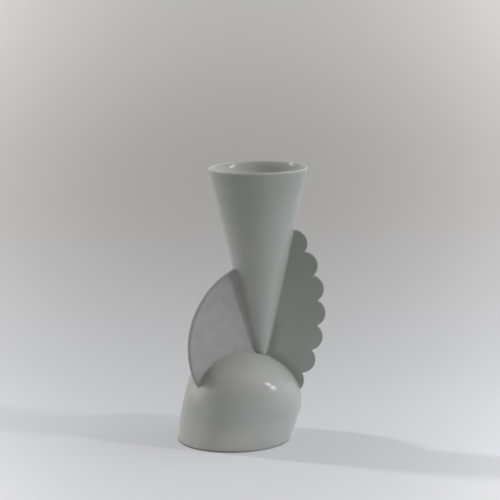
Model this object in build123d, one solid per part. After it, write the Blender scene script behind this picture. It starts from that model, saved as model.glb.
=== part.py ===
from build123d import *
import math
import os

# Ceramic vase: an upright cone stands point down on a leaning egg, with a slab fin on either side.
# Millimetres. +Z is up, the table is z = 0, and the origin is the centre of the foot.
# The front, from which both fins and the lean are seen, is towards -Y.

# Egg-shaped base, a hollow shell of revolution about an axis that leans towards +X
egg_radius = 54.9         # across the axis, at the equator
egg_crown = 43.7          # equator to the pole, along the axis
flank_radius = 255.0      # arc of the side below the equator
egg_lean = 18.3           # degrees from upright
equator_height = 43.2     # centre of the equator above the table
egg_wall = 5.0            # thickness of the shell
foot_round = 0.8          # softened edges of the foot ring

# Cone vessel, upright, with its point through the egg's crown
cone_height = 176.0       # crown to the top of the lip
cone_foot_radius = 6.8    # outside radius where the cone enters the crown
cone_rim_radius = 46.5    # outside radius at the mouth
cone_wall = 3.3           # thickness of the wall, and of the round lip
cone_shift = 2.0          # from the egg's pole to the cone's axis, towards +X
well_radius = 3.0         # round bottom of the inside
point_floor = 7.0         # solid clay under the well

# Fins, cut from slabs and set upright along lines that meet at the cone's axis
slab_thickness = 5.0
slab_edge_round = 1.2     # sponged outer edges
slip_gap = 0.1            # layer of slip between two joined pieces

# Half-disc fin
disc_bearing = 206.0      # degrees in plan, counted from +X towards +Y
disc_radius = 78.9
disc_setback = 4.3        # centre of the disc behind the cone's axis
disc_rise = 9.2           # centre of the disc above the crown

# Scalloped fin: round lobes along an arc
lobe_bearing = -4.0       # degrees in plan, counted from +X towards +Y
lobe_count = 7
lobe_radius = 13.0
lobe_spacing = 23.0       # from one lobe's centre to the next, along the arc
lobe_arc_radius = 125.0   # arc through the lobes' centres
lobe_arc_setback = 76.1   # centre of that arc behind the cone's axis
lobe_arc_rise = 42.5      # centre of that arc above the crown
lobe_arc_turn = -2.1      # degrees, direction of the middle lobe from level


# Places that follow from the sizes above.
# The egg's outline above the equator is an oval of two tangent arcs, the shoulder and the crown.
lean_sin = math.sin(math.radians(egg_lean))
lean_cos = math.cos(math.radians(egg_lean))
oval_chord = math.hypot(egg_radius, egg_crown)
shoulder_radius = oval_chord * (oval_chord - egg_radius + egg_crown) / (2 * egg_radius)
crown_radius = oval_chord * (oval_chord + egg_radius - egg_crown) / (2 * egg_crown)


def foot_offset():
    """Distance in X from the foot's centre, which is the origin, to the equator's centre."""
    flank_sink = (flank_radius - egg_radius) * lean_sin
    reach_right = math.sqrt(flank_radius ** 2 - (equator_height + flank_sink) ** 2)
    reach_left = math.sqrt(flank_radius ** 2 - (equator_height - flank_sink) ** 2)
    return (reach_left - reach_right) / 2


def crown_height_at(x):
    """Height of the crown above the table at a distance x from the equator's centre, on the plane y = 0."""
    sink = crown_radius - egg_crown
    return equator_height - sink * lean_cos + math.sqrt(crown_radius ** 2 - (x + sink * lean_sin) ** 2)


egg_x = foot_offset()
cone_from_egg = egg_crown * lean_sin + cone_shift
cone_x = egg_x + cone_from_egg
crown_z = crown_height_at(cone_from_egg)

taper = math.atan2(cone_rim_radius - cone_foot_radius, cone_height)
taper_sin = math.sin(taper)
taper_cos = math.cos(taper)
apex_z = crown_z - cone_foot_radius / math.tan(taper)
rim_z = crown_z + cone_height
well_centre_z = apex_z + (cone_wall + well_radius) / taper_sin
point_z = well_centre_z - well_radius - point_floor


def cone_radius_at(z, grow=0.0):
    """Outside radius of the cone at a height, with its surface moved out by grow."""
    return (z - apex_z) * math.tan(taper) + grow / taper_cos


def turned(profile):
    """Solid of revolution about Z of a profile drawn as radius and height, with its seam at the back."""
    return revolve(Plane.YZ * profile, Axis.Z)


def egg_solid(grow=0.0):
    """Solid egg, leaning and cut off at the table, with its surface moved out by grow."""
    pole = Vector(0, egg_crown + grow)
    equator = Vector(egg_radius + grow, 0)
    towards_shoulder = Vector(egg_crown, egg_radius) / oval_chord
    shoulder = Vector(egg_radius - shoulder_radius, 0) + towards_shoulder * (shoulder_radius + grow)
    depth = (equator_height + egg_radius) / lean_cos
    flank_reach = math.sqrt((flank_radius + grow) ** 2 - depth ** 2)
    tail = Vector(egg_radius - flank_radius + flank_reach, -depth)
    outline = [
        TangentArc(pole, shoulder, tangent=(1, 0)),
        TangentArc(equator, shoulder, tangent=(0, 1)),
        TangentArc(equator, tail, tangent=(0, -1)),
        Polyline(tail, (0, -depth), pole),
    ]
    upright = turned(make_face(outline))
    leaning = Pos(egg_x, 0, equator_height) * Rot(0, egg_lean, 0) * upright
    room = 4 * depth
    above_table = Pos(0, 0, room / 2) * Box(room, room, room)
    return leaning & above_table


def cone_solid(grow=0.0):
    """Solid outside form of the cone, with its side moved out by grow."""
    profile = Polyline(
        (0, point_z),
        (cone_radius_at(point_z, grow), point_z),
        (cone_radius_at(rim_z, grow), rim_z),
        (0, rim_z),
        close=True,
    )
    return Pos(cone_x, 0, 0) * turned(make_face(profile))


def make_cone_vessel():
    """Thin cone with a round lip and a small round well above its solid point."""
    lip_radius = cone_wall / 2
    lip_z = rim_z - lip_radius
    lip_centre = Vector(cone_radius_at(lip_z, -lip_radius), lip_z)
    outward = Vector(taper_cos, -taper_sin) * lip_radius
    upward = Vector(taper_sin, taper_cos) * lip_radius
    outer_top = lip_centre + outward
    inner_top = lip_centre - outward
    well_edge = Vector(well_radius * taper_cos, well_centre_z - well_radius * taper_sin)
    well_bottom = Vector(0, well_centre_z - well_radius)
    outline = [
        Line((0, point_z), (cone_radius_at(point_z), point_z)),
        Line((cone_radius_at(point_z), point_z), outer_top),
        ThreePointArc(outer_top, lip_centre + upward, inner_top),
        Line(inner_top, well_edge),
        TangentArc(well_bottom, well_edge, tangent=(1, 0)),
        Line(well_bottom, (0, point_z)),
    ]
    return Pos(cone_x, 0, 0) * turned(make_face(outline))


def make_egg_base():
    """Hollow egg, open at the foot, with the hole in its crown that the cone's point fills."""
    shell = egg_solid() - egg_solid(-egg_wall) - cone_solid(slip_gap)
    foot_ring = shell.faces().sort_by(Axis.Z)[0]
    return fillet(foot_ring.edges(), foot_round)


def fin_plane(bearing):
    """Upright plane through the cone's axis: local x runs outwards along the bearing, local y runs up."""
    angle = math.radians(bearing)
    outwards = Vector(math.cos(angle), math.sin(angle), 0)
    return Plane((cone_x, 0, 0), x_dir=outwards, z_dir=outwards.cross(Vector(0, 0, 1)))


def slab(face):
    """Flat slab of a face, half its thickness to either side."""
    return extrude(face, slab_thickness / 2, both=True)


def softened_lobe(radius):
    """Round slab with sponged edges."""
    return fillet(slab(Circle(radius)).edges().filter_by(GeomType.CIRCLE), slab_edge_round)


def seat_fin(plate, bearing):
    """Set a slab upright beside the cone and cut its inner edge to the cone and to the egg."""
    standing = fin_plane(bearing).location * plate
    return standing - cone_solid(slip_gap) - egg_solid(slip_gap)


def make_disc_fin():
    """Half disc between the cone and the egg."""
    width = 2 * disc_radius
    outer_half = Pos(disc_radius, 0, 0) * Box(width, width, slab_thickness)
    disc = Pos(-disc_setback, 0, 0) * softened_lobe(disc_radius)
    return seat_fin(Pos(0, crown_z + disc_rise, 0) * (disc & outer_half), disc_bearing)


def make_scalloped_fin():
    """Slab whose outer edge is a row of round lobes."""
    step = lobe_spacing / lobe_arc_radius
    first = math.radians(lobe_arc_turn) + step * (lobe_count - 1) / 2
    centres = []
    for i in range(lobe_count):
        angle = first - i * step
        out = lobe_arc_radius * math.cos(angle) - lobe_arc_setback
        centres.append(Vector(out, crown_z + lobe_arc_rise + lobe_arc_radius * math.sin(angle)))
    inner_edge = [Vector(0, centres[-1].Y), Vector(0, centres[0].Y)]
    plate = slab(make_face(Polyline(*centres, *inner_edge, close=True)))
    for centre in centres:
        plate += Pos(centre) * softened_lobe(lobe_radius)
    return seat_fin(plate, lobe_bearing)


pieces = {
    "cone_vessel": make_cone_vessel(),
    "egg_base": make_egg_base(),
    "disc_fin": make_disc_fin(),
    "scalloped_fin": make_scalloped_fin(),
}

os.makedirs("parts", exist_ok=True)
for name, piece in pieces.items():
    export_step(piece, f"parts/{name}.step")
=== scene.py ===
import math
from collections import namedtuple

import bmesh
import bpy
from mathutils import Matrix, Vector, noise


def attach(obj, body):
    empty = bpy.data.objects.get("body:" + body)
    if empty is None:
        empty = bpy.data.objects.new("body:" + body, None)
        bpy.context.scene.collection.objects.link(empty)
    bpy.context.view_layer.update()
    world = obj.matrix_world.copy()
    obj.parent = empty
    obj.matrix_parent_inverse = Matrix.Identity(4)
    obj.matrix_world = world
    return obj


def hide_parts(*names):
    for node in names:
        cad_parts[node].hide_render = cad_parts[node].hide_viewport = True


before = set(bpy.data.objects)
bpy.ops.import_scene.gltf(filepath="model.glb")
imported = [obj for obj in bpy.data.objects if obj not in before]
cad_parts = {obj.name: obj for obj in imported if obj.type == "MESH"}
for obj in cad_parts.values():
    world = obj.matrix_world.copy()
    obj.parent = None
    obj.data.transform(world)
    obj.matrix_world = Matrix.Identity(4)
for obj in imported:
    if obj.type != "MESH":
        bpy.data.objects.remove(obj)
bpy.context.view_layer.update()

# Ceramic vase: a cone stands point down on a leaning egg, between a half-disc fin and a scalloped fin.
# Sizes are in millimetres, as in the vase's solids, and meshes are turned into metres when they are made.
MM = 0.001

# Egg-shaped base, a shell of revolution about an axis that leans towards +X
EGG_RADIUS = 54.9          # across the axis, at the equator
EGG_CROWN = 43.7           # equator to the pole, along the axis
FLANK_RADIUS = 255.0       # arc of the side below the equator
EGG_LEAN = math.radians(18.3)
EQUATOR_HEIGHT = 43.2      # centre of the equator above the table
EGG_WALL = 5.0
FOOT_ROUND = 2.2           # softened edges of the foot ring

# Cone vessel, upright, with its point through the egg's crown
CONE_HEIGHT = 176.0        # crown to the top of the lip
CONE_FOOT_RADIUS = 6.8     # outside radius where the cone enters the crown
CONE_RIM_RADIUS = 46.5     # outside radius at the mouth
CONE_WALL = 3.3
CONE_SHIFT = 2.0           # from the egg's pole to the cone's axis, towards +X
LIP_ROUND = 0.7            # radius of the thin lip
LIP_TURN = math.radians(152)  # facing at which the lip's round runs into the inside
LIP_FLARE = 6.5            # height under the lip over which the wall thins to it
MOUTH_RISE = 0.9           # how much higher the mouth stands at the front
WELL_RADIUS = 3.0          # round bottom of the inside
WELL_TURN = math.radians(85)  # how far that round goes before it is closed flat
POINT_FLOOR = 7.0          # solid clay under the well

# Fins, slabs set upright along lines that meet at the cone's axis
SLAB_THICKNESS = 5.0
EDGE_ROUND = 0.6           # crisp outer edges
DISC_BEARING = math.radians(206.0)
DISC_RADIUS = 78.9
DISC_SETBACK = 4.3         # centre of the half disc behind the cone's axis
DISC_RISE = 9.2            # centre of the half disc above the crown
LOBE_BEARING = math.radians(-4.0)
LOBE_COUNT = 7
LOBE_RADIUS = 13.0
LOBE_SPACING = 23.0        # from one lobe's centre to the next, along the arc
LOBE_ARC_RADIUS = 125.0    # arc through the lobes' centres
LOBE_ARC_SETBACK = 76.1    # centre of that arc behind the cone's axis
LOBE_ARC_RISE = 42.5       # centre of that arc above the crown
LOBE_ARC_TURN = math.radians(-2.1)  # direction of the middle lobe from level

# Luted joints
JOINT_DEPTH = 1.0          # how far a fin's inner edge is pressed into the clay behind it
CONE_PRESS = 0.001         # how far the cone is pressed into the edge of the egg's hole
FILLET = 1.1               # slip smoothed into the corner along a joint
CORNER_WIDTH = JOINT_DEPTH + 1.5 * FILLET  # stretch of a fin's face at the joint, with room for that slip

# The maker's hand: shallow swells all over a piece, which fade out towards the crown and the foot
HAND_DEPTH = 0.16
HAND_PITCH = 34.0          # distance between two swells
CONE_SALT = 1.0            # a salt shifts the pattern of the swells, so that each piece has its own
FIN_SALT = 3.0
EGG_SALT = 7.0
SALT_SKEW = 0.37           # direction of that shift
SWELL_RADIUS = 45.0        # ring around the cone's axis on which its swells are read
CONE_FADE = 20.0           # height above the crown over which the cone's swells set in
MOUTH_FADE = 30.0          # height under the lip over which they move the mouth up and down, too
FOOT_FADE = 15.0           # height above the table over which the egg's swells set in
CROWN_FADE = (1.0, 25.0)   # heights below the crown between which they set in

# Print of the cloth that was pressed into the half-disc fin
WEAVE_PITCH = 1.9          # distance between two threads
WEAVE_DEPTH = 0.07
WEAVE_SHADE = 0.095        # how much paler the clay is on its raised spots
WEAVE_TURN = math.radians(9.0)
WEAVE_LONG_SWAY = (11.0, 0.9)   # length and reach of the threads' long waves
WEAVE_SHORT_SWAY = (3.5, 0.35)  # length and reach of their short waves
WEAVE_PATCHES = (6.0, 0.8)      # size of the patches that are pressed more or less, and by what share
WEAVE_SPOTS = (2.3, 0.9)        # size of the spots among them, and by what share
WEAVE_FROM_EDGE = (0.2, 1.4)    # distances from the slab's edge between which the print sets in
WEAVE_FROM_JOINT = (0.3, 1.8)   # distances from the joint between which it does
FACES_APART = 40.0              # makes the print of the back another than that of the front
WAVES_APART = Vector((0, 0, 7))  # tells two waves of one length apart

# How deep the glaze lies, which also carries painted shade and painted light:
# 1 where it pools or is painted darker, 0 where it is even, -1 where it runs thin or is painted paler.
# A pair is two distances or heights between which one depth turns into another.
# Over the lip the glaze is thin and paler: partly glaze thinning over the edge, partly a painted highlight
# along the lip.
LIP_DEPTH = -1.0
LIP_REACH = (0.3, 1.3)     # under the top of the lip, outside
LIP_POWER = 8              # how sharply the lip's thin glaze ends inside
# Inside the cone, painted light makes the glaze paler further down, and less so just under the lip.
UNDER_LIP_DEPTH = 0.0
INSIDE_DEPTH = -0.85
INSIDE_REACH = (1.5, 13.0)  # under the lip
MOUTH_SHADE = 0.40
MOUTH_SHADE_START = 50.0         # height above the crown from which painted shade darkens the cone up to the mouth
# On the egg the glaze is paler, partly its own thin glaze and partly painted light on the top and towards
# the foot; around the belly it is painted darker, painted shade.
EGG_DEPTH = -0.5
BELLY_SHADE = 0.02
BELLY_SHADE_HEIGHT = 42.0
BELLY_SHADE_REACH = (8.0, 34.0)  # above and below that height
FOOT_SHADE = 0.65            # how much darker the foot is painted on the side of the lean, painted shade under the egg's overhang
FOOT_SHADE_REACH = (4.0, 28.0)  # above the table
POOL_REACH = (0.2, 2.4)    # from a joint
# Along the joint at the crown, a thin pale line: a painted highlight on the edge of the egg's hole
CROWN_JOINT_HIGHLIGHT = -0.3
CROWN_CORNER_SHADE = 1.0   # painted shade where the joint at the crown meets the half disc
CROWN_CORNER_REACH = (4.5, 8.0)  # to the side of the half disc's middle
FIN_JOINT_DEPTH = 0.17
TIP_SHADOW = 0.40      # painted shadow of the half disc on the egg, in front of it and above its lower end
TIP_SHADOW_REACH = (15.0, 30.0)  # from that end
TIP_LIGHT = -1.1      # painted light on the egg, below that end
TIP_LIGHT_REACH = (2.0, 21.0)  # from that end
TIP_TURN = (1.0, 3.0)      # above that end, where the one turns into the other
# Depths on the fins, painted shade and light: darker at the top of a face than at the bottom, darker along
# the rounded edge, and on the scalloped fin darker all over and in the corner by the egg.
DISC_SHADE_DEPTHS = {"top": 0.38, "bottom": -0.15, "edge": 0.65, "corner": 0.0}
SCALLOP_SHADE_DEPTHS = {"top": 0.98, "bottom": 0.18, "edge": 0.6, "corner": 0.40}
EDGE_REACH = 1.2           # from a fin's edge
CORNER_REACH = (3.0, 11.0)  # from a fin's joint, over which the corner's painted shade fades
CORNER_START = (0.45, 0.72)  # shares of the fin's height, from the top, between which that painted shade sets in

# Finishes, as they look in plain light (sRGB, 0 to 255)
GLAZE = (173, 176, 171)
GLAZE_DEEP = (166, 170, 163)
# Paler and darker glaze, for thin and pooled glaze and also for painted light and painted shade
GLAZE_THIN_AND_LIT = (196, 197, 190)
GLAZE_POOL_AND_SHADE = (130, 136, 124)
# Bare foot ring: its clay colour darkened with painted shade where it meets the table
RAW_CLAY_AND_SHADE = (142, 138, 130)
CLOTH_CLAY = (178, 178, 175)
CLOTH_DEEP = (152, 152, 150)
CLOTH_EDGE = (128, 128, 124)
BARE_HEIGHT = (0.4 * MM, 1.1 * MM)  # metres above the table between which the bare foot turns into glaze

# How rough the finishes are, from 0 for a mirror to 1
GLAZE_ROUGHNESS = (0.16, 0.22)
BARE_ROUGHNESS = 0.45      # added where the clay is bare
CLOTH_ROUGHNESS = 0.72

# Paper floor. Its tone goes by nearness, which is PAPER_NEAREST over the distance from the viewer,
# and rises to either side as painted light. The light that it throws back is that of an even paper.
PAPER = (240, 240, 240)
PAPER_AWAY = (190, 190, 190)
PAPER_AWAY_REACH = (0.15, 0.7)  # metres from the vase between which the first turns into the second
PAPER_TONES = {
    0.18: (202, 200, 196),
    0.36: (179, 177, 173),
    0.48: (176, 174, 170),
    0.58: (184, 183, 182),
    0.70: (197, 198, 199),
    0.83: (212, 214, 216),
    1.00: (228, 229, 233),
}
PAPER_NEAREST = 1.6        # distance from the viewer, in metres, at which the tones end
PAPER_FAN = 4.9            # how fast the tone rises to the sides
PAPER_FAN_LIMIT = 1.3      # where that rise ends
PAPER_RISE_FAR = 0.44
PAPER_RISE_NEAR = 0.24
PAPER_RISE_REACH = (0.45, 0.75)  # nearness between which the first turns into the second
PAPER_LIGHTEST = 0.98
PAPER_GLOW = 0.28          # share of the tone that glows, painted light that no shadow dims
PAPER_ROUGHNESS = 0.95
PAPER_SPECULAR = 0.1
HORIZON = (192, 190, 186)
FLOOR_RADIUS = 40.0        # metres
FLOOR_SIDES = 96

# Studio light
AMBIENT = 0.165            # strength of the even light from all round
WARM = (1.04, 0.995, 0.95)
COOL = (0.95, 0.975, 1.09)
WHITE = (1, 1, 1)
LAMP_DISTANCE = 2.0        # metres

# Camera of the photograph, in metres
CAMERA_PLACE = Vector((0.018411, -1.80037, 0.50824))
CAMERA_AIM = Vector((0.018411, 0.0, 0.181959))
CAMERA_ROLL = -0.016       # radians
CAMERA_LENS = 140.63       # millimetres
CAMERA_SENSOR = 36.0       # millimetres across

# How finely the meshes are drawn
CONE_SIDES = 192
CONE_RINGS = {"outside": 90, "lip": 17, "flare": 16, "inside": 76, "well": 8}
EGG_SIDES = 160
EGG_RINGS = {"crown": 30, "shoulder": 40, "flank": 60, "foot_edge": 7}
JOINT_POINTS = {"cone": 60, "egg": 90}
DISC_COLUMNS = 330         # along the fin's outer edge
DISC_ROWS = 110            # across its face
LOBE_COLUMNS = 34          # along each lobe's edge
SCALLOP_ROWS = 40
EDGE_ROWS = 7              # around a fin's rounded edge
CORNER_ROWS = 12
FIRST_ROW = 0.25           # share of a row's width that the first row of a face has
WELD = 1e-7                # metres within which two points are one
SHORTEST = 1e-9            # a length that stands for none
NARROWEST = 1e-6           # a width that stands for none

# Where the places that follow are looked for
HALVINGS = 40              # steps of a search
HOLE_LIMIT = math.radians(60)   # the egg's outline that faces this way is clear of the cone
FOOT_LIMIT = math.radians(-40)  # the egg's outline that faces this way is below the table
CROWN_LIMIT = 10.0         # a fin's joint turns from the cone to the egg within this height of the crown

# Places that follow from the sizes, in millimetres
LEAN_SIN = math.sin(EGG_LEAN)
LEAN_COS = math.cos(EGG_LEAN)
EGG_AXIS = Vector((LEAN_SIN, 0, LEAN_COS))
OVAL_CHORD = math.hypot(EGG_RADIUS, EGG_CROWN)
SHOULDER_RADIUS = OVAL_CHORD * (OVAL_CHORD - EGG_RADIUS + EGG_CROWN) / (2 * EGG_RADIUS)
CROWN_RADIUS = OVAL_CHORD * (OVAL_CHORD + EGG_RADIUS - EGG_CROWN) / (2 * EGG_CROWN)
SHOULDER_TURN = math.atan2(EGG_RADIUS, EGG_CROWN)
FLANK_SINK = (FLANK_RADIUS - EGG_RADIUS) * LEAN_SIN
EGG_X = (
    math.sqrt(FLANK_RADIUS ** 2 - (EQUATOR_HEIGHT - FLANK_SINK) ** 2)
    - math.sqrt(FLANK_RADIUS ** 2 - (EQUATOR_HEIGHT + FLANK_SINK) ** 2)
) / 2
EGG_CENTRE = Vector((EGG_X, 0, EQUATOR_HEIGHT))
CROWN_SINK = CROWN_RADIUS - EGG_CROWN
CONE_FROM_EGG = EGG_CROWN * LEAN_SIN + CONE_SHIFT
CONE_X = EGG_X + CONE_FROM_EGG
CROWN_Z = (
    EQUATOR_HEIGHT - CROWN_SINK * LEAN_COS
    + math.sqrt(CROWN_RADIUS ** 2 - (CONE_FROM_EGG + CROWN_SINK * LEAN_SIN) ** 2)
)
TAPER = math.atan2(CONE_RIM_RADIUS - CONE_FOOT_RADIUS, CONE_HEIGHT)
APEX_Z = CROWN_Z - CONE_FOOT_RADIUS / math.tan(TAPER)
RIM_Z = CROWN_Z + CONE_HEIGHT
WELL_Z = APEX_Z + (CONE_WALL + WELL_RADIUS) / math.sin(TAPER)
POINT_Z = WELL_Z - WELL_RADIUS - POINT_FLOOR
HALF_SLAB = SLAB_THICKNESS / 2

# A fin's bearing, the height of its top end, and its bottom end's distance from the cone's axis and height
Seam = namedtuple("Seam", "bearing top_z end_out end_z")


def spread(low, high, count):
    """Evenly spaced values from low to high, both included."""
    return [low + (high - low) * i / (count - 1) for i in range(count)]


def all_round(count):
    """Evenly spaced angles of a full turn."""
    return spread(0, math.tau, count + 1)[:-1]


def between(first, second, share):
    """Value a share of the way from the first to the second."""
    return first + (second - first) * share


def smooth_step(value, low, high):
    """0 below low, 1 above high, and an S-curve between."""
    t = min(1.0, max(0.0, (value - low) / (high - low)))
    return t * t * (3 - 2 * t)


def crossing(value, low, high):
    """Where a value changes sign between low and high."""
    starts_below = value(low) < 0
    for _ in range(HALVINGS):
        middle = (low + high) / 2
        if (value(middle) < 0) == starts_below:
            low = middle
        else:
            high = middle
    return (low + high) / 2


def hand(point, salt):
    """How far the maker's hand left the surface off at a point, up to HAND_DEPTH either way."""
    return HAND_DEPTH * noise.noise(point / HAND_PITCH + Vector((salt, SALT_SKEW * salt, 0)))


def bridges(count, size, joined):
    """Faces between neighbouring loops of points, with both ends closed or the last joined to the first."""
    faces = []
    for i in range(count if joined else count - 1):
        here = i * size
        there = (i + 1) % count * size
        for j in range(size):
            k = (j + 1) % size
            faces.append((here + j, here + k, there + k, there + j))
    if not joined:
        faces.append(tuple(range(size)))
        faces.append(tuple(range((count - 1) * size, count * size)))
    return faces


def loop_mesh(name, loops, joined=False):
    """Smooth closed mesh through loops of points that each carry how deep the glaze lies there, painted
    shade and light included.
    """
    mesh = bpy.data.meshes.new(name)
    points = [point * MM for loop in loops for point, _ in loop]
    mesh.from_pydata(points, [], bridges(len(loops), len(loops[0]), joined))
    depth = mesh.attributes.new("glaze_depth_and_shade", "FLOAT", "POINT")
    depth.data.foreach_set("value", [amount for loop in loops for _, amount in loop])
    work = bmesh.new()
    work.from_mesh(mesh)
    bmesh.ops.remove_doubles(work, verts=work.verts, dist=WELD)
    bmesh.ops.recalc_face_normals(work, faces=work.faces)
    work.to_mesh(mesh)
    work.free()
    mesh.polygons.foreach_set("use_smooth", [True] * len(mesh.polygons))
    piece = bpy.data.objects.new(name, mesh)
    bpy.context.scene.collection.objects.link(piece)
    return piece


# Cone vessel

def cone_radius(z):
    """Outside radius of the cone at a height."""
    return (z - APEX_Z) * math.tan(TAPER)


def from_cone(place):
    """How far outside the cone a place lies, straight out from its axis, below 0 inside."""
    return math.hypot(place.x - CONE_X, place.y) - cone_radius(place.z)


def cone_inside(flare_radius, flare_z):
    """Radius, height and glaze depth from the end of the lip's round down to the well."""
    wall = CONE_WALL / math.cos(TAPER)
    thinned = wall - cone_radius(flare_z) + flare_radius
    straight_z = RIM_Z - LIP_FLARE
    heights = spread(flare_z, straight_z, CONE_RINGS["flare"])[1:]
    heights += spread(straight_z, WELL_Z, CONE_RINGS["inside"])[1:]
    profile = []
    for z in heights:
        t = max(0.0, (z - straight_z) / (flare_z - straight_z))
        depth = between(UNDER_LIP_DEPTH, INSIDE_DEPTH, smooth_step(RIM_Z - z, *INSIDE_REACH))
        depth = between(depth, LIP_DEPTH, t ** LIP_POWER)
        profile.append((cone_radius(z) - wall + thinned * t * t, z, depth))
    return profile


def cone_profile():
    """Radius, height and glaze depth from the point up the outside, over the lip and down into the well."""
    lip_z = RIM_Z - LIP_ROUND
    lip_radius = cone_radius(lip_z) - LIP_ROUND / math.cos(TAPER)
    lip_start, lip_end = LIP_REACH
    profile = []
    for z in spread(POINT_Z, lip_z - LIP_ROUND * math.sin(TAPER), CONE_RINGS["outside"]):
        # Painted shade, darker up to the mouth
        depth = MOUTH_SHADE * smooth_step(z, CROWN_Z + MOUTH_SHADE_START, RIM_Z)
        depth = between(depth, LIP_DEPTH, smooth_step(z, RIM_Z - lip_end, RIM_Z - lip_start))
        profile.append((cone_radius(z), z, depth))
    for turn in spread(-TAPER, LIP_TURN, CONE_RINGS["lip"])[1:]:
        spot = (lip_radius + LIP_ROUND * math.cos(turn), lip_z + LIP_ROUND * math.sin(turn))
        profile.append((*spot, LIP_DEPTH))
    profile += cone_inside(*spot)
    for turn in spread(0, WELL_TURN, CONE_RINGS["well"])[1:]:
        spot = (WELL_RADIUS * math.cos(turn), WELL_Z - WELL_RADIUS * math.sin(turn))
        profile.append((*spot, INSIDE_DEPTH))
    return profile


def make_cone_vessel():
    """Thin uneven cone: glaze thin over the lip, partly a painted highlight, and pooled along the fins;
    painted shade up to the mouth, painted light inside.
    """
    seams = fin_seams()
    loops = []
    for radius, z, depth in cone_profile():
        centre = Vector((CONE_X, 0, z))
        loose = smooth_step(z, CROWN_Z, CROWN_Z + CONE_FADE)
        near_mouth = smooth_step(z, RIM_Z - MOUTH_FADE, RIM_Z)
        loop = []
        for around in all_round(CONE_SIDES):
            out = Vector((math.cos(around), math.sin(around), 0))
            place = centre + out * (radius + CONE_PRESS)
            swell = hand(centre + out * SWELL_RADIUS, CONE_SALT)
            place += (out + Vector((0, 0, near_mouth))) * swell * loose
            place.z += MOUTH_RISE * near_mouth * max(0.0, -out.y)
            pull = joint_pool_and_painted_light(place, seams, z - CROWN_Z)
            loop.append((place, pull + (1 - pull) * depth))
        loops.append(loop)
    return loop_mesh("porcelain_cone", loops)


# Egg base

def egg_outline(turn, grow=0.0):
    """Radius and height, in the egg's own frame, where its outline faces turn above level."""
    if turn > SHOULDER_TURN:
        centre_radius, centre_height, bend = 0.0, -CROWN_SINK, CROWN_RADIUS
    elif turn > 0:
        centre_radius, centre_height, bend = EGG_RADIUS - SHOULDER_RADIUS, 0.0, SHOULDER_RADIUS
    else:
        centre_radius, centre_height, bend = EGG_RADIUS - FLANK_RADIUS, 0.0, FLANK_RADIUS
    return centre_radius + (bend + grow) * math.cos(turn), centre_height + (bend + grow) * math.sin(turn)


def egg_point(turn, around, grow=0.0):
    """Place on the leaning egg."""
    radius, height = egg_outline(turn, grow)
    across = radius * math.cos(around)
    return EGG_CENTRE + Vector((
        across * LEAN_COS + height * LEAN_SIN,
        radius * math.sin(around),
        height * LEAN_COS - across * LEAN_SIN,
    ))


def egg_depth(place):
    """How deep a place lies under the egg's outside, below 0 above it."""
    height = (place - EGG_CENTRE).dot(EGG_AXIS)
    radius = (place - EGG_CENTRE - EGG_AXIS * height).length
    if height < 0:
        return FLANK_RADIUS - math.hypot(radius - EGG_RADIUS + FLANK_RADIUS, height)
    if radius * math.sin(SHOULDER_TURN) < (height + CROWN_SINK) * math.cos(SHOULDER_TURN):
        return CROWN_RADIUS - math.hypot(radius, height + CROWN_SINK)
    return SHOULDER_RADIUS - math.hypot(radius - EGG_RADIUS + SHOULDER_RADIUS, height)


def egg_meridian(around, grow):
    """Places down one side of the egg, from the cone's hole to the table."""
    hole = crossing(lambda turn: from_cone(egg_point(turn, around, grow)), math.pi / 2, HOLE_LIMIT)
    foot = crossing(lambda turn: egg_point(turn, around, grow).z, 0, FOOT_LIMIT)
    turns = spread(hole, SHOULDER_TURN, EGG_RINGS["crown"])
    turns += spread(SHOULDER_TURN, 0, EGG_RINGS["shoulder"])[1:]
    turns += spread(0, foot, EGG_RINGS["flank"])[1:]
    return [egg_point(turn, around, grow) for turn in turns]


def egg_glaze_and_shade(place, seams):
    """Glaze depth on the egg: thin, with painted light above and below the belly and painted shade around
    it, painted shade at the foot on the side of the lean, painted shadow and light at the half disc's lower
    end, and pooled along the joints.
    """
    # Painted shade around the belly, painted light above and below it
    lit_share = smooth_step(abs(place.z - BELLY_SHADE_HEIGHT), *BELLY_SHADE_REACH)
    depth = between(BELLY_SHADE, EGG_DEPTH, lit_share)
    # Painted shade at the foot on the side of the lean
    leaning = max(0.0, place.x / EGG_RADIUS)
    depth += FOOT_SHADE * leaning * (1 - smooth_step(place.z, *FOOT_SHADE_REACH))
    # Painted shadow of the half disc and painted light below its lower end
    depth = painted_light_around_tip(place, depth, seams[0])
    pull = joint_pool_and_painted_light(place, seams, from_cone(place))
    return pull + (1 - pull) * depth


def foot_ring(outside, inside):
    """Rounded edges between the lowest places of one side's outside and inside."""
    across = (inside[-1] - outside[-1]).normalized()
    up_outside = (outside[-2] - outside[-1]).normalized()
    up_inside = (inside[-2] - inside[-1]).normalized()
    places = []
    for corner, before, after in ((outside[-1], up_outside, across), (inside[-1], -across, up_inside)):
        for t in spread(0, 1, EGG_RINGS["foot_edge"]):
            places.append(corner + FOOT_ROUND * ((1 - t) ** 2 * before + t ** 2 * after))
    return places


def egg_section(around, seams):
    """Closed section of the shell on one side: outside, round foot ring, inside and hole."""
    outside = egg_meridian(around, 0.0)
    inside = egg_meridian(around, -EGG_WALL)
    section = []
    for place in outside[:-1]:
        loose = smooth_step(place.z, 0, FOOT_FADE) * smooth_step(CROWN_Z - place.z, *CROWN_FADE)
        away = (place - EGG_CENTRE).normalized()
        section.append((place + away * hand(place, EGG_SALT) * loose, egg_glaze_and_shade(place, seams)))
    plain = foot_ring(outside, inside) + inside[:-1][::-1]
    return section + [(place, 0.0) for place in plain]


def make_egg_base():
    """Hollow leaning egg with a bare foot ring and the hole in which the cone's point sits."""
    seams = fin_seams()
    sections = [egg_section(around, seams) for around in all_round(EGG_SIDES)]
    return loop_mesh("porcelain_egg", sections, joined=True)


# Fins

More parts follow.
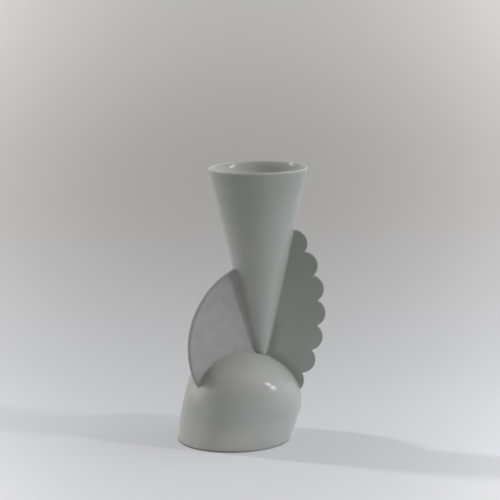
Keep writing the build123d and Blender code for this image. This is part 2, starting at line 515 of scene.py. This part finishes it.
def on_fin(bearing, out, z, aside=0.0):
    """Place on an upright slab through the cone's axis: outwards, up and to one side."""
    outwards = Vector((math.cos(bearing), math.sin(bearing), 0))
    sideways = Vector((-math.sin(bearing), math.cos(bearing), 0))
    return Vector((CONE_X, 0, z)) + outwards * out + sideways * aside


def from_fin(place, bearing):
    """Distances of a place from the cone's axis, outwards along an upright slab and to one side of it."""
    from_axis = place - Vector((CONE_X, 0, 0))
    out = from_axis.x * math.cos(bearing) + from_axis.y * math.sin(bearing)
    aside = from_axis.y * math.cos(bearing) - from_axis.x * math.sin(bearing)
    return out, aside


def clay_depth(place):
    """How deep a place lies in the cone or in the egg, below 0 outside them."""
    return max(-from_cone(place), egg_depth(place))


def along(path, count):
    """Points spaced evenly along a path."""
    lengths = [0.0]
    for a, b in zip(path, path[1:]):
        lengths.append(lengths[-1] + (b - a).length)
    points = []
    i = 0
    for goal in spread(0, lengths[-1], count):
        while i < len(path) - 2 and lengths[i + 1] < goal:
            i += 1
        t = (goal - lengths[i]) / max(SHORTEST, lengths[i + 1] - lengths[i])
        points.append(path[i].lerp(path[i + 1], min(1.0, t)))
    return points


def joint_line(bearing, top, bottom):
    """Inner edge of a slab, pressed into the cone down to the crown and into the egg out to its end."""
    def in_egg(out, z):
        return egg_depth(on_fin(bearing, out, z)) - JOINT_DEPTH

    def in_cone(z):
        return cone_radius(z) - JOINT_DEPTH

    above, below = CROWN_Z + CROWN_LIMIT, CROWN_Z - CROWN_LIMIT
    turning_z = crossing(lambda z: in_egg(in_cone(z), z), above, below)
    path = [Vector((in_cone(z), z)) for z in spread(top.y, turning_z, JOINT_POINTS["cone"])]
    for out in spread(path[-1].x, bottom.x, JOINT_POINTS["egg"])[1:-1]:
        path.append(Vector((out, crossing(lambda z: in_egg(out, z), above, 0))))
    return path + [bottom]


def round_edge(bearing, centre, radius):
    """Two functions of a facing on a slab's round edge: the spot there, and how far it is past the joint."""
    def at(turn):
        return centre + radius * Vector((math.cos(turn), math.sin(turn)))

    def buried(turn):
        return clay_depth(on_fin(bearing, *at(turn))) - JOINT_DEPTH

    return at, buried


def disc_outline(inset, count):
    """Round outer edge of the half-disc fin, from the cone down to the egg."""
    centre = Vector((-DISC_SETBACK, CROWN_Z + DISC_RISE))
    at, buried = round_edge(DISC_BEARING, centre, DISC_RADIUS - inset)
    start = crossing(buried, 0, math.pi / 2)
    end = crossing(buried, 0, -math.pi / 2)
    return [at(turn) for turn in spread(start, end, count)]


def lobe_outline(inset, count):
    """Outer edge of the scalloped fin: a row of round lobes from the cone down to the egg."""
    step = LOBE_SPACING / LOBE_ARC_RADIUS
    first = LOBE_ARC_TURN + step * (LOBE_COUNT - 1) / 2
    radius = LOBE_RADIUS - inset
    half_notch = math.acos(LOBE_ARC_RADIUS * math.sin(step / 2) / radius)
    reach = math.pi / 2 + step / 2 - half_notch
    outline = []
    for i in range(LOBE_COUNT):
        facing = first - i * step
        centre = Vector((
            LOBE_ARC_RADIUS * math.cos(facing) - LOBE_ARC_SETBACK,
            CROWN_Z + LOBE_ARC_RISE + LOBE_ARC_RADIUS * math.sin(facing),
        ))
        at, buried = round_edge(LOBE_BEARING, centre, radius)
        start, end = facing + reach, facing - reach
        if i == 0:
            start = crossing(buried, facing, facing + math.pi / 2)
        if i == LOBE_COUNT - 1:
            end = crossing(buried, start, start - math.pi)
        outline += [at(turn) for turn in spread(start, end, count // LOBE_COUNT)]
    return outline


def fin_seams():
    """Seam of the half-disc fin and seam of the scalloped fin."""
    seams = []
    for bearing, outline in ((DISC_BEARING, disc_outline), (LOBE_BEARING, lobe_outline)):
        ends = outline(0.0, 2 * LOBE_COUNT)
        seams.append(Seam(bearing, ends[0].y, ends[-1].x, ends[-1].y))
    return seams


def joint_pool_and_painted_light(place, seams, from_crown_joint):
    """At a place a distance from the crown joint: glaze pooled beside the fins, and a painted highlight
    along that joint with painted shade where it meets the half disc.
    """
    from_disc = abs(from_fin(place, DISC_BEARING)[1])
    # Painted shade where the crown joint meets the half disc, painted highlight along the rest of that joint
    corner = 1 - smooth_step(from_disc, *CROWN_CORNER_REACH)
    crown = between(CROWN_JOINT_HIGHLIGHT, CROWN_CORNER_SHADE, corner)
    pull = crown * (1 - smooth_step(from_crown_joint, *POOL_REACH))
    for seam in seams:
        out, aside = from_fin(place, seam.bearing)
        if 0 < out < seam.end_out and place.z < seam.top_z:
            gap = abs(aside) - HALF_SLAB
            pull = max(pull, FIN_JOINT_DEPTH * (1 - smooth_step(gap, *POOL_REACH)))
    return pull


def painted_light_around_tip(place, depth, seam):
    """Painted shadow of a fin on the egg, above its lower end and in front of the fin, and painted light
    below that end.
    """
    away = (place - on_fin(seam.bearing, seam.end_out, seam.end_z)).length
    above = smooth_step(place.z - seam.end_z, *TIP_TURN)
    in_front = smooth_step(from_fin(place, seam.bearing)[1], 0, HALF_SLAB)
    # Painted shadow above the end, in front of the fin; painted light below it
    pull = above * in_front * (1 - smooth_step(away, *TIP_SHADOW_REACH))
    lit_share = (1 - above) * (1 - smooth_step(away, *TIP_LIGHT_REACH))
    return depth + (TIP_SHADOW - depth) * pull + (TIP_LIGHT - depth) * lit_share


def face_rows(width, count):
    """Distances across a slab's face from its outer edge to its joint, closer together at both."""
    plain = width - min(CORNER_WIDTH, width / 2)
    rows = [0.0, FIRST_ROW * plain / count] + spread(0, plain, count)[1:]
    return rows + spread(plain, width, CORNER_ROWS)[1:]


def fillet(gap):
    """How far slip widens a slab at a distance from the clay that it is joined to."""
    short = min(FILLET, max(0.0, FILLET - gap))
    return FILLET - math.sqrt(FILLET ** 2 - short ** 2)


def edge_rows(outline, count):
    """Rounded edge of a slab: distances from its middle, each with the outline there."""
    rows = []
    for turn in spread(0, math.pi / 2, EDGE_ROWS)[:-1]:
        inset = EDGE_ROUND * (1 - math.cos(turn))
        rows.append((HALF_SLAB - EDGE_ROUND * (1 - math.sin(turn)), outline(inset, count)))
    return rows


def fin_loops(bearing, outline, count, rows, relief, depths):
    """Closed sections across a slab, from the top of its outer edge to the bottom.

    The depths, painted shade and light, are those at the top and the bottom of the faces, along the edge
    and, added to these, in the corner at the joint.
    """
    face_edge = outline(EDGE_ROUND, count)
    inner = along(joint_line(bearing, face_edge[0], face_edge[-1]), count)
    edges = edge_rows(outline, count)
    top_z, bottom_z = face_edge[0].y, face_edge[-1].y

    def down(spot):
        return (top_z - spot.y) / (top_z - bottom_z)

    def dressed(side, spot, aside, depth, amount):
        gap = -clay_depth(on_fin(bearing, spot.x, spot.y, side * aside))
        height = relief(spot, side) * amount * smooth_step(gap, *WEAVE_FROM_JOINT)
        bulge = aside + WEAVE_DEPTH * height + fillet(gap) * (aside / HALF_SLAB) ** 2
        uneven = hand(on_fin(bearing, spot.x, spot.y), FIN_SALT + bearing)
        # Painted shade in the corner at the joint, in the lower part of the fin
        corner = smooth_step(down(spot), *CORNER_START) * (1 - smooth_step(gap, *CORNER_REACH))
        place = on_fin(bearing, spot.x, spot.y, side * bulge + uneven)
        return place, depth - WEAVE_SHADE * height + depths["corner"] * corner * amount

    loops = []
    for j in range(count):
        half = [(edge[j], aside, depths["edge"], 0.0) for aside, edge in edges]
        width = max(NARROWEST, (inner[j] - face_edge[j]).length)
        for away in face_rows(width, rows):
            spot = face_edge[j].lerp(inner[j], away / width)
            face_depth = between(depths["top"], depths["bottom"], down(spot))
            depth = between(depths["edge"], face_depth, smooth_step(away, 0, EDGE_REACH))
            half.append((spot, HALF_SLAB, depth, smooth_step(away, *WEAVE_FROM_EDGE)))
        section = [dressed(-1, *row) for row in reversed(half)]
        loops.append(section + [dressed(1, *row) for row in half])
    return loops


def weave(spot, side):
    """Height of the pressed cloth at a spot, up to about 1 either way: wavy threads, unevenly pressed."""
    place = Vector((spot.x, spot.y, FACES_APART * side))

    def sway(length, reach):
        return reach * Vector((noise.noise(place / length), noise.noise(place / length + WAVES_APART)))

    swayed = spot + sway(*WEAVE_LONG_SWAY) + sway(*WEAVE_SHORT_SWAY)
    u = (swayed.x * math.cos(WEAVE_TURN) + swayed.y * math.sin(WEAVE_TURN)) * math.pi / WEAVE_PITCH
    v = (swayed.y * math.cos(WEAVE_TURN) - swayed.x * math.sin(WEAVE_TURN)) * math.pi / WEAVE_PITCH
    patch_size, patch_share = WEAVE_PATCHES
    spot_size, spot_share = WEAVE_SPOTS
    pressed = 1 + patch_share * noise.noise(place / patch_size + WAVES_APART)
    pressed += spot_share * noise.noise(place / spot_size)
    return pressed * math.sin(u) * math.sin(v)


def make_disc_fin():
    """Half-disc slab with the print of a cloth on both faces."""
    loops = fin_loops(DISC_BEARING, disc_outline, DISC_COLUMNS, DISC_ROWS, weave, DISC_SHADE_DEPTHS)
    return loop_mesh("clay_disc_fin", loops)


def make_scalloped_fin():
    """Smooth slab whose outer edge is a row of lobes."""
    def smooth(spot, side):
        return 0.0

    columns = LOBE_COUNT * LOBE_COLUMNS
    loops = fin_loops(LOBE_BEARING, lobe_outline, columns, SCALLOP_ROWS, smooth, SCALLOP_SHADE_DEPTHS)
    return loop_mesh("porcelain_scalloped_fin", loops)


# Materials

def linear(colour):
    """Scene-linear colour with full alpha from an sRGB one of 0 to 255."""
    channels = []
    for value in colour:
        c = value / 255
        channels.append(c / 12.92 if c <= 0.04045 else ((c + 0.055) / 1.055) ** 2.4)
    return (*channels, 1.0)


class Finish:
    """A material under construction: its nodes are wired by short calls."""

    def __init__(self, name):
        self.material = bpy.data.materials.new(name)
        self.material.use_nodes = True
        self.nodes = self.material.node_tree.nodes
        self.links = self.material.node_tree.links
        self.surface = self.nodes["Principled BSDF"]

    def add(self, kind, **settings):
        """New node."""
        node = self.nodes.new(kind)
        for name, value in settings.items():
            setattr(node, name, value)
        return node

    def wire(self, source, target):
        """Link from the output of one node to the input of another."""
        self.links.new(source, target)

    def feed(self, value, target):
        """Number written into an input, or the output of a node wired to it."""
        if isinstance(value, (int, float)):
            target.default_value = value
        else:
            self.wire(value, target)

    def place(self):
        """Coordinates on the object in metres."""
        return self.add("ShaderNodeTexCoord").outputs["Object"]

    def axis(self, name):
        """One of these coordinates."""
        separate = self.add("ShaderNodeSeparateXYZ")
        self.wire(self.place(), separate.inputs[0])
        return separate.outputs[name]

    def cloud(self, size_mm, detail):
        """Noise whose lumps are about size_mm across."""
        node = self.add("ShaderNodeTexNoise")
        node.inputs["Scale"].default_value = 1 / (size_mm * MM)
        node.inputs["Detail"].default_value = detail
        self.wire(self.place(), node.inputs["Vector"])
        return node.outputs["Fac"]

    def ranged(self, value, span, onto=(0, 1)):
        """Value moved from one span onto another and held at the ends of that."""
        node = self.add("ShaderNodeMapRange")
        for name, number in zip(("From Min", "From Max", "To Min", "To Max"), (*span, *onto)):
            node.inputs[name].default_value = number
        self.wire(value, node.inputs["Value"])
        return node.outputs["Result"]

    def depth(self, start, end):
        """0 to 1 between two values of the glaze depth from the mesh, which also carries painted shade and
        light.
        """
        source = self.add("ShaderNodeAttribute", attribute_name="glaze_depth_and_shade").outputs["Fac"]
        return self.ranged(source, (start, end))

    def maths(self, operation, *values):
        """Result of an operation on numbers or the outputs of nodes."""
        node = self.add("ShaderNodeMath", operation=operation)
        for target, value in zip(node.inputs, values):
            self.feed(value, target)
        return node.outputs[0]

    def blend(self, amount, first, second):
        """Colour between two, each a written colour or the output of a node."""
        node = self.add("ShaderNodeMix", data_type="RGBA")
        self.wire(amount, node.inputs["Factor"])
        # Inputs 6 and 7 and output 2 are the colours of a Mix node
        for target, colour in ((node.inputs[6], first), (node.inputs[7], second)):
            if isinstance(colour, tuple):
                target.default_value = linear(colour)
            else:
                self.wire(colour, target)
        return node.outputs[2]

    def layer(self, amount, first, second):
        """Shader between two."""
        node = self.add("ShaderNodeMixShader")
        self.feed(amount, node.inputs["Fac"])
        self.wire(first, node.inputs[1])
        self.wire(second, node.inputs[2])
        return node.outputs["Shader"]

    def bump(self, height, strength, depth_mm):
        """Fine relief of the surface."""
        node = self.add("ShaderNodeBump")
        node.inputs["Strength"].default_value = strength
        node.inputs["Distance"].default_value = depth_mm * MM
        self.wire(height, node.inputs["Height"])
        self.wire(node.outputs["Normal"], self.surface.inputs["Normal"])


def satin_glaze():
    """Pale grey-green satin glaze: cloudy, a little deeper in places, thin over edges, paler where light is
    painted and darker where shade is painted, bare at the foot.
    """
    finish = Finish("glaze")
    clouds = finish.ranged(finish.cloud(size_mm=38, detail=3), span=(0.35, 0.65))
    colour = finish.blend(clouds, GLAZE_DEEP, GLAZE)
    specks = finish.ranged(finish.cloud(size_mm=0.9, detail=1), span=(0.66, 0.74), onto=(0, 0.12))
    colour = finish.blend(specks, colour, GLAZE_DEEP)
    # Thin and pooled glaze, and the painted light and painted shade that the glaze depth carries
    colour = finish.blend(finish.depth(0, -1), colour, GLAZE_THIN_AND_LIT)
    colour = finish.blend(finish.depth(0, 1), colour, GLAZE_POOL_AND_SHADE)
    # Bare foot ring, darkened by painted shade at the table
    bare = finish.ranged(finish.axis("Z"), span=BARE_HEIGHT, onto=(1, 0))
    colour = finish.blend(bare, colour, RAW_CLAY_AND_SHADE)
    finish.wire(colour, finish.surface.inputs["Base Color"])
    gloss = finish.ranged(finish.cloud(size_mm=9, detail=3), span=(0.3, 0.7), onto=GLAZE_ROUGHNESS)
    roughness = finish.maths("MULTIPLY_ADD", bare, BARE_ROUGHNESS, gloss)
    finish.wire(roughness, finish.surface.inputs["Roughness"])
    finish.bump(finish.cloud(size_mm=4.5, detail=2), strength=0.10, depth_mm=0.12)
    return finish.material


def cloth_textured_clay():
    """Matt grey clay with the print of a woven cloth, darker between the threads, with painted shade along
    its edges and towards the top.
    """
    finish = Finish("cloth_print")
    clouds = finish.ranged(finish.cloud(size_mm=9, detail=4), span=(0.3, 0.7), onto=(-0.18, 0.18))
    # The depth carries painted shade: darker towards the top of the face and along the edges
    shade = finish.maths("ADD", finish.depth(-0.6, 0.6), clouds)
    colour = finish.blend(shade, CLOTH_CLAY, CLOTH_DEEP)
    colour = finish.blend(finish.depth(0.5, 1.5), colour, CLOTH_EDGE)
    finish.wire(colour, finish.surface.inputs["Base Color"])
    finish.surface.inputs["Roughness"].default_value = CLOTH_ROUGHNESS
    finish.bump(finish.cloud(size_mm=0.5, detail=2), strength=0.35, depth_mm=0.08)
    return finish.material


def looked_at(nodes, links):
    """1 for what the camera sees, straight, mirrored in the glaze or through glass, and else 0."""
    rays = nodes.new("ShaderNodeLightPath")
    seen = rays.outputs["Is Camera Ray"]
    for kind in ("Is Glossy Ray", "Is Transmission Ray"):
        either = nodes.new("ShaderNodeMath")
        either.operation = "MAXIMUM"
        links.new(seen, either.inputs[0])
        links.new(rays.outputs[kind], either.inputs[1])
        seen = either.outputs[0]
    return seen


def paper_ramp(finish, nearness):
    """The paper's tones from far to near."""
    ramp = finish.add("ShaderNodeValToRGB")
    finish.wire(nearness, ramp.inputs["Fac"])
    stops = ramp.color_ramp.elements
    ramp.color_ramp.interpolation = "B_SPLINE"
    while len(stops) < len(PAPER_TONES):
        stops.new(0.5)
    for stop, (place, colour) in zip(stops, PAPER_TONES.items()):
        stop.position = place
        stop.color = linear(colour)
    return ramp.outputs["Color"]


def paper_tone(finish):
    """Colour of the paper by its place: pale near the viewer, dim behind the vase, paler again far away."""
    distance = finish.maths("ADD", finish.axis("Y"), -CAMERA_PLACE.y)
    nearness = finish.maths("DIVIDE", PAPER_NEAREST, finish.maths("MAXIMUM", distance, PAPER_NEAREST))
    fan = finish.maths("MULTIPLY", finish.maths("MULTIPLY", finish.axis("X"), nearness), PAPER_FAN)
    rise = finish.maths("MINIMUM", finish.maths("MULTIPLY", fan, fan), PAPER_FAN_LIMIT)
    amount = finish.ranged(nearness, span=PAPER_RISE_REACH, onto=(PAPER_RISE_FAR, PAPER_RISE_NEAR))
    gain = finish.maths("MULTIPLY_ADD", rise, amount, 1.0)
    toned = finish.add("ShaderNodeVectorMath", operation="SCALE")
    finish.wire(paper_ramp(finish, nearness), toned.inputs[0])
    finish.wire(gain, toned.inputs["Scale"])
    capped = finish.add("ShaderNodeVectorMath", operation="MINIMUM")
    finish.wire(toned.outputs["Vector"], capped.inputs[0])
    capped.inputs[1].default_value = (PAPER_LIGHTEST, PAPER_LIGHTEST, PAPER_LIGHTEST)
    return capped.outputs["Vector"]


def floor_finish():
    """Matt pale paper: an even one for the light it throws back, toned and glowing with painted light where
    it is looked at.
    """
    finish = Finish("paper_floor")
    tone = paper_tone(finish)
    finish.wire(tone, finish.surface.inputs["Base Color"])
    finish.surface.inputs["Roughness"].default_value = PAPER_ROUGHNESS
    finish.surface.inputs["Specular IOR Level"].default_value = PAPER_SPECULAR
    glow = finish.add("ShaderNodeEmission")
    finish.wire(tone, glow.inputs["Color"])
    toned = finish.layer(PAPER_GLOW, finish.surface.outputs["BSDF"], glow.outputs["Emission"])
    even = finish.add("ShaderNodeBsdfDiffuse")
    length = finish.add("ShaderNodeVectorMath", operation="LENGTH")
    finish.wire(finish.place(), length.inputs[0])
    away = finish.ranged(length.outputs["Value"], span=PAPER_AWAY_REACH)
    finish.wire(finish.blend(away, PAPER, PAPER_AWAY), even.inputs["Color"])
    paper = finish.layer(looked_at(finish.nodes, finish.links), even.outputs["BSDF"], toned)
    finish.wire(paper, finish.nodes["Material Output"].inputs["Surface"])
    return finish.material


# Stage, light and camera

def make_floor():
    """Round sheet of paper under the vase, far larger than the view."""
    mesh = bpy.data.meshes.new("paper_floor")
    work = bmesh.new()
    bmesh.ops.create_circle(work, cap_ends=True, segments=FLOOR_SIDES, radius=FLOOR_RADIUS)
    work.to_mesh(mesh)
    work.free()
    mesh.materials.append(floor_finish())
    floor = bpy.data.objects.new("paper_floor", mesh)
    bpy.context.scene.collection.objects.link(floor)


def make_world():
    """Even light from all round, with the far floor's tone behind the vase."""
    world = bpy.data.worlds.new("studio")
    bpy.context.scene.world = world
    world.use_nodes = True
    nodes, links = world.node_tree.nodes, world.node_tree.links
    ambient = nodes["Background"]
    ambient.inputs["Color"].default_value = (*WARM, 1)
    ambient.inputs["Strength"].default_value = AMBIENT
    behind = nodes.new("ShaderNodeBackground")
    behind.inputs["Color"].default_value = linear(HORIZON)
    mix = nodes.new("ShaderNodeMixShader")
    links.new(looked_at(nodes, links), mix.inputs["Fac"])
    links.new(ambient.outputs[0], mix.inputs[1])
    links.new(behind.outputs[0], mix.inputs[2])
    links.new(mix.outputs[0], nodes["World Output"].inputs["Surface"])


def make_lamp(name, bearing, elevation, strength, softness, tint=WHITE, is_sheen=False):
    """Distant soft lamp that either lights the vase or is only reflected in its glaze.

    Its angles are in degrees, and the bearing is counted from the viewer's side towards the right.
    """
    turn = math.radians(bearing)
    lift = math.radians(elevation)
    towards = Vector((math.sin(turn) * math.cos(lift), -math.cos(turn) * math.cos(lift), math.sin(lift)))
    light = bpy.data.lights.new(name, "SUN")
    light.energy = strength
    light.color = tint
    light.angle = math.radians(softness)
    lamp = bpy.data.objects.new(name, light)
    lamp.visible_diffuse = not is_sheen
    lamp.visible_glossy = is_sheen
    lamp.rotation_euler = towards.to_track_quat("Z", "Y").to_euler()
    lamp.location = towards * LAMP_DISTANCE
    bpy.context.scene.collection.objects.link(lamp)


def make_sun(name, bearing, elevation, strength, softness, sheen, tint=WHITE):
    """Lamp that lights the vase and is reflected in its glaze with a share of its strength."""
    make_lamp(f"{name}_light", bearing, elevation, strength, softness, tint)
    make_lamp(f"{name}_sheen", bearing, elevation, strength * sheen, softness, tint, is_sheen=True)


def make_lights():
    """A small lamp on either side, what the glaze mirrors of both, and wide soft light around them."""
    make_lamp("key_right", bearing=68, elevation=27, strength=0.66, softness=5)
    make_lamp("key_right_sheen", bearing=80, elevation=33, strength=0.24, softness=9, is_sheen=True)
    make_lamp("key_right_corner", bearing=78, elevation=43, strength=0.17, softness=6, is_sheen=True)
    make_lamp("key_left", bearing=-114.5, elevation=26, strength=1.17, softness=5)
    make_lamp("key_left_sheen", bearing=-109, elevation=38, strength=0.14, softness=10, is_sheen=True)
    make_sun("wash_left", bearing=-115, elevation=24, strength=0.51, softness=75, sheen=0.2)
    make_sun("wash_right", bearing=92, elevation=9, strength=1.22, softness=55, sheen=0.22, tint=COOL)
    make_sun("rim_right", bearing=128, elevation=12, strength=0.55, softness=50, sheen=0.3, tint=COOL)
    make_sun("wash_front", bearing=55, elevation=35, strength=0.40, softness=75, sheen=0.5, tint=COOL)
    make_sun("overhead", bearing=0, elevation=89, strength=0.20, softness=75, sheen=0.4)


def make_camera():
    """The photograph's own view."""
    data = bpy.data.cameras.new("camera")
    data.sensor_width = CAMERA_SENSOR
    data.lens = CAMERA_LENS
    camera = bpy.data.objects.new("camera", data)
    look = (CAMERA_AIM - CAMERA_PLACE).normalized()
    right = look.cross(Vector((0, 0, 1))).normalized()
    up = right.cross(look)
    c, s = math.cos(CAMERA_ROLL), math.sin(CAMERA_ROLL)
    axes = Matrix((c * right + s * up, c * up - s * right, -look)).transposed()
    camera.matrix_world = Matrix.Translation(CAMERA_PLACE) @ axes.to_4x4()
    bpy.context.scene.collection.objects.link(camera)
    bpy.context.scene.camera = camera


glaze = satin_glaze()
cloth = cloth_textured_clay()
for piece, node, material, slot in (
    (make_cone_vessel(), "cone_vessel", glaze, "satin_glaze"),
    (make_egg_base(), "egg_base", glaze, "satin_glaze"),
    (make_disc_fin(), "disc_fin", cloth, "cloth_textured_clay"),
    (make_scalloped_fin(), "scalloped_fin", glaze, "satin_glaze"),
):
    piece.data.materials.append(material)
    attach(piece, "root")
    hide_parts(node)

make_floor()
make_world()
make_lights()
make_camera()
bpy.context.scene.view_settings.view_transform = "Standard"
